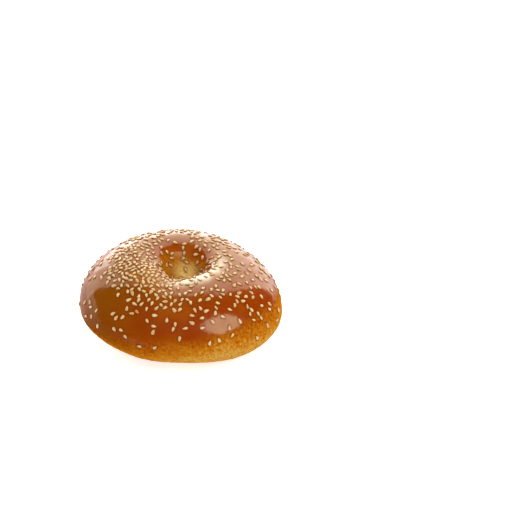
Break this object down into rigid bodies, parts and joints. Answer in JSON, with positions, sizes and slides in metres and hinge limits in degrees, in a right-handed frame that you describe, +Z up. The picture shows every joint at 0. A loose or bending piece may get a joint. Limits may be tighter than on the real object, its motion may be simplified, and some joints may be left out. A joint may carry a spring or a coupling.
{
  "type": "sesame bagel",
  "caption": "Plump baked ring of dough with a glossy brown crust, a flat base and a narrow hole, strewn with sesame seeds: a bread roll to slice, fill and eat.",
  "frame": {"origin": "on the surface the bagel rests on, under the middle of the box of its crust", "axes": "+Z up through the hole; -Y towards the side shown at the front; +X to the right of that side"},
  "size_m": [0.1206, 0.1194, 0.0497],
  "materials": {
    "crust": "glossy golden-brown crust, paler and matt near the base and in the hole",
    "sesame": "satin ivory sesame seeds with tan edges"
  },
  "bodies": {
    "root": {"bagel": "crust"}
  },
  "joints": []
}
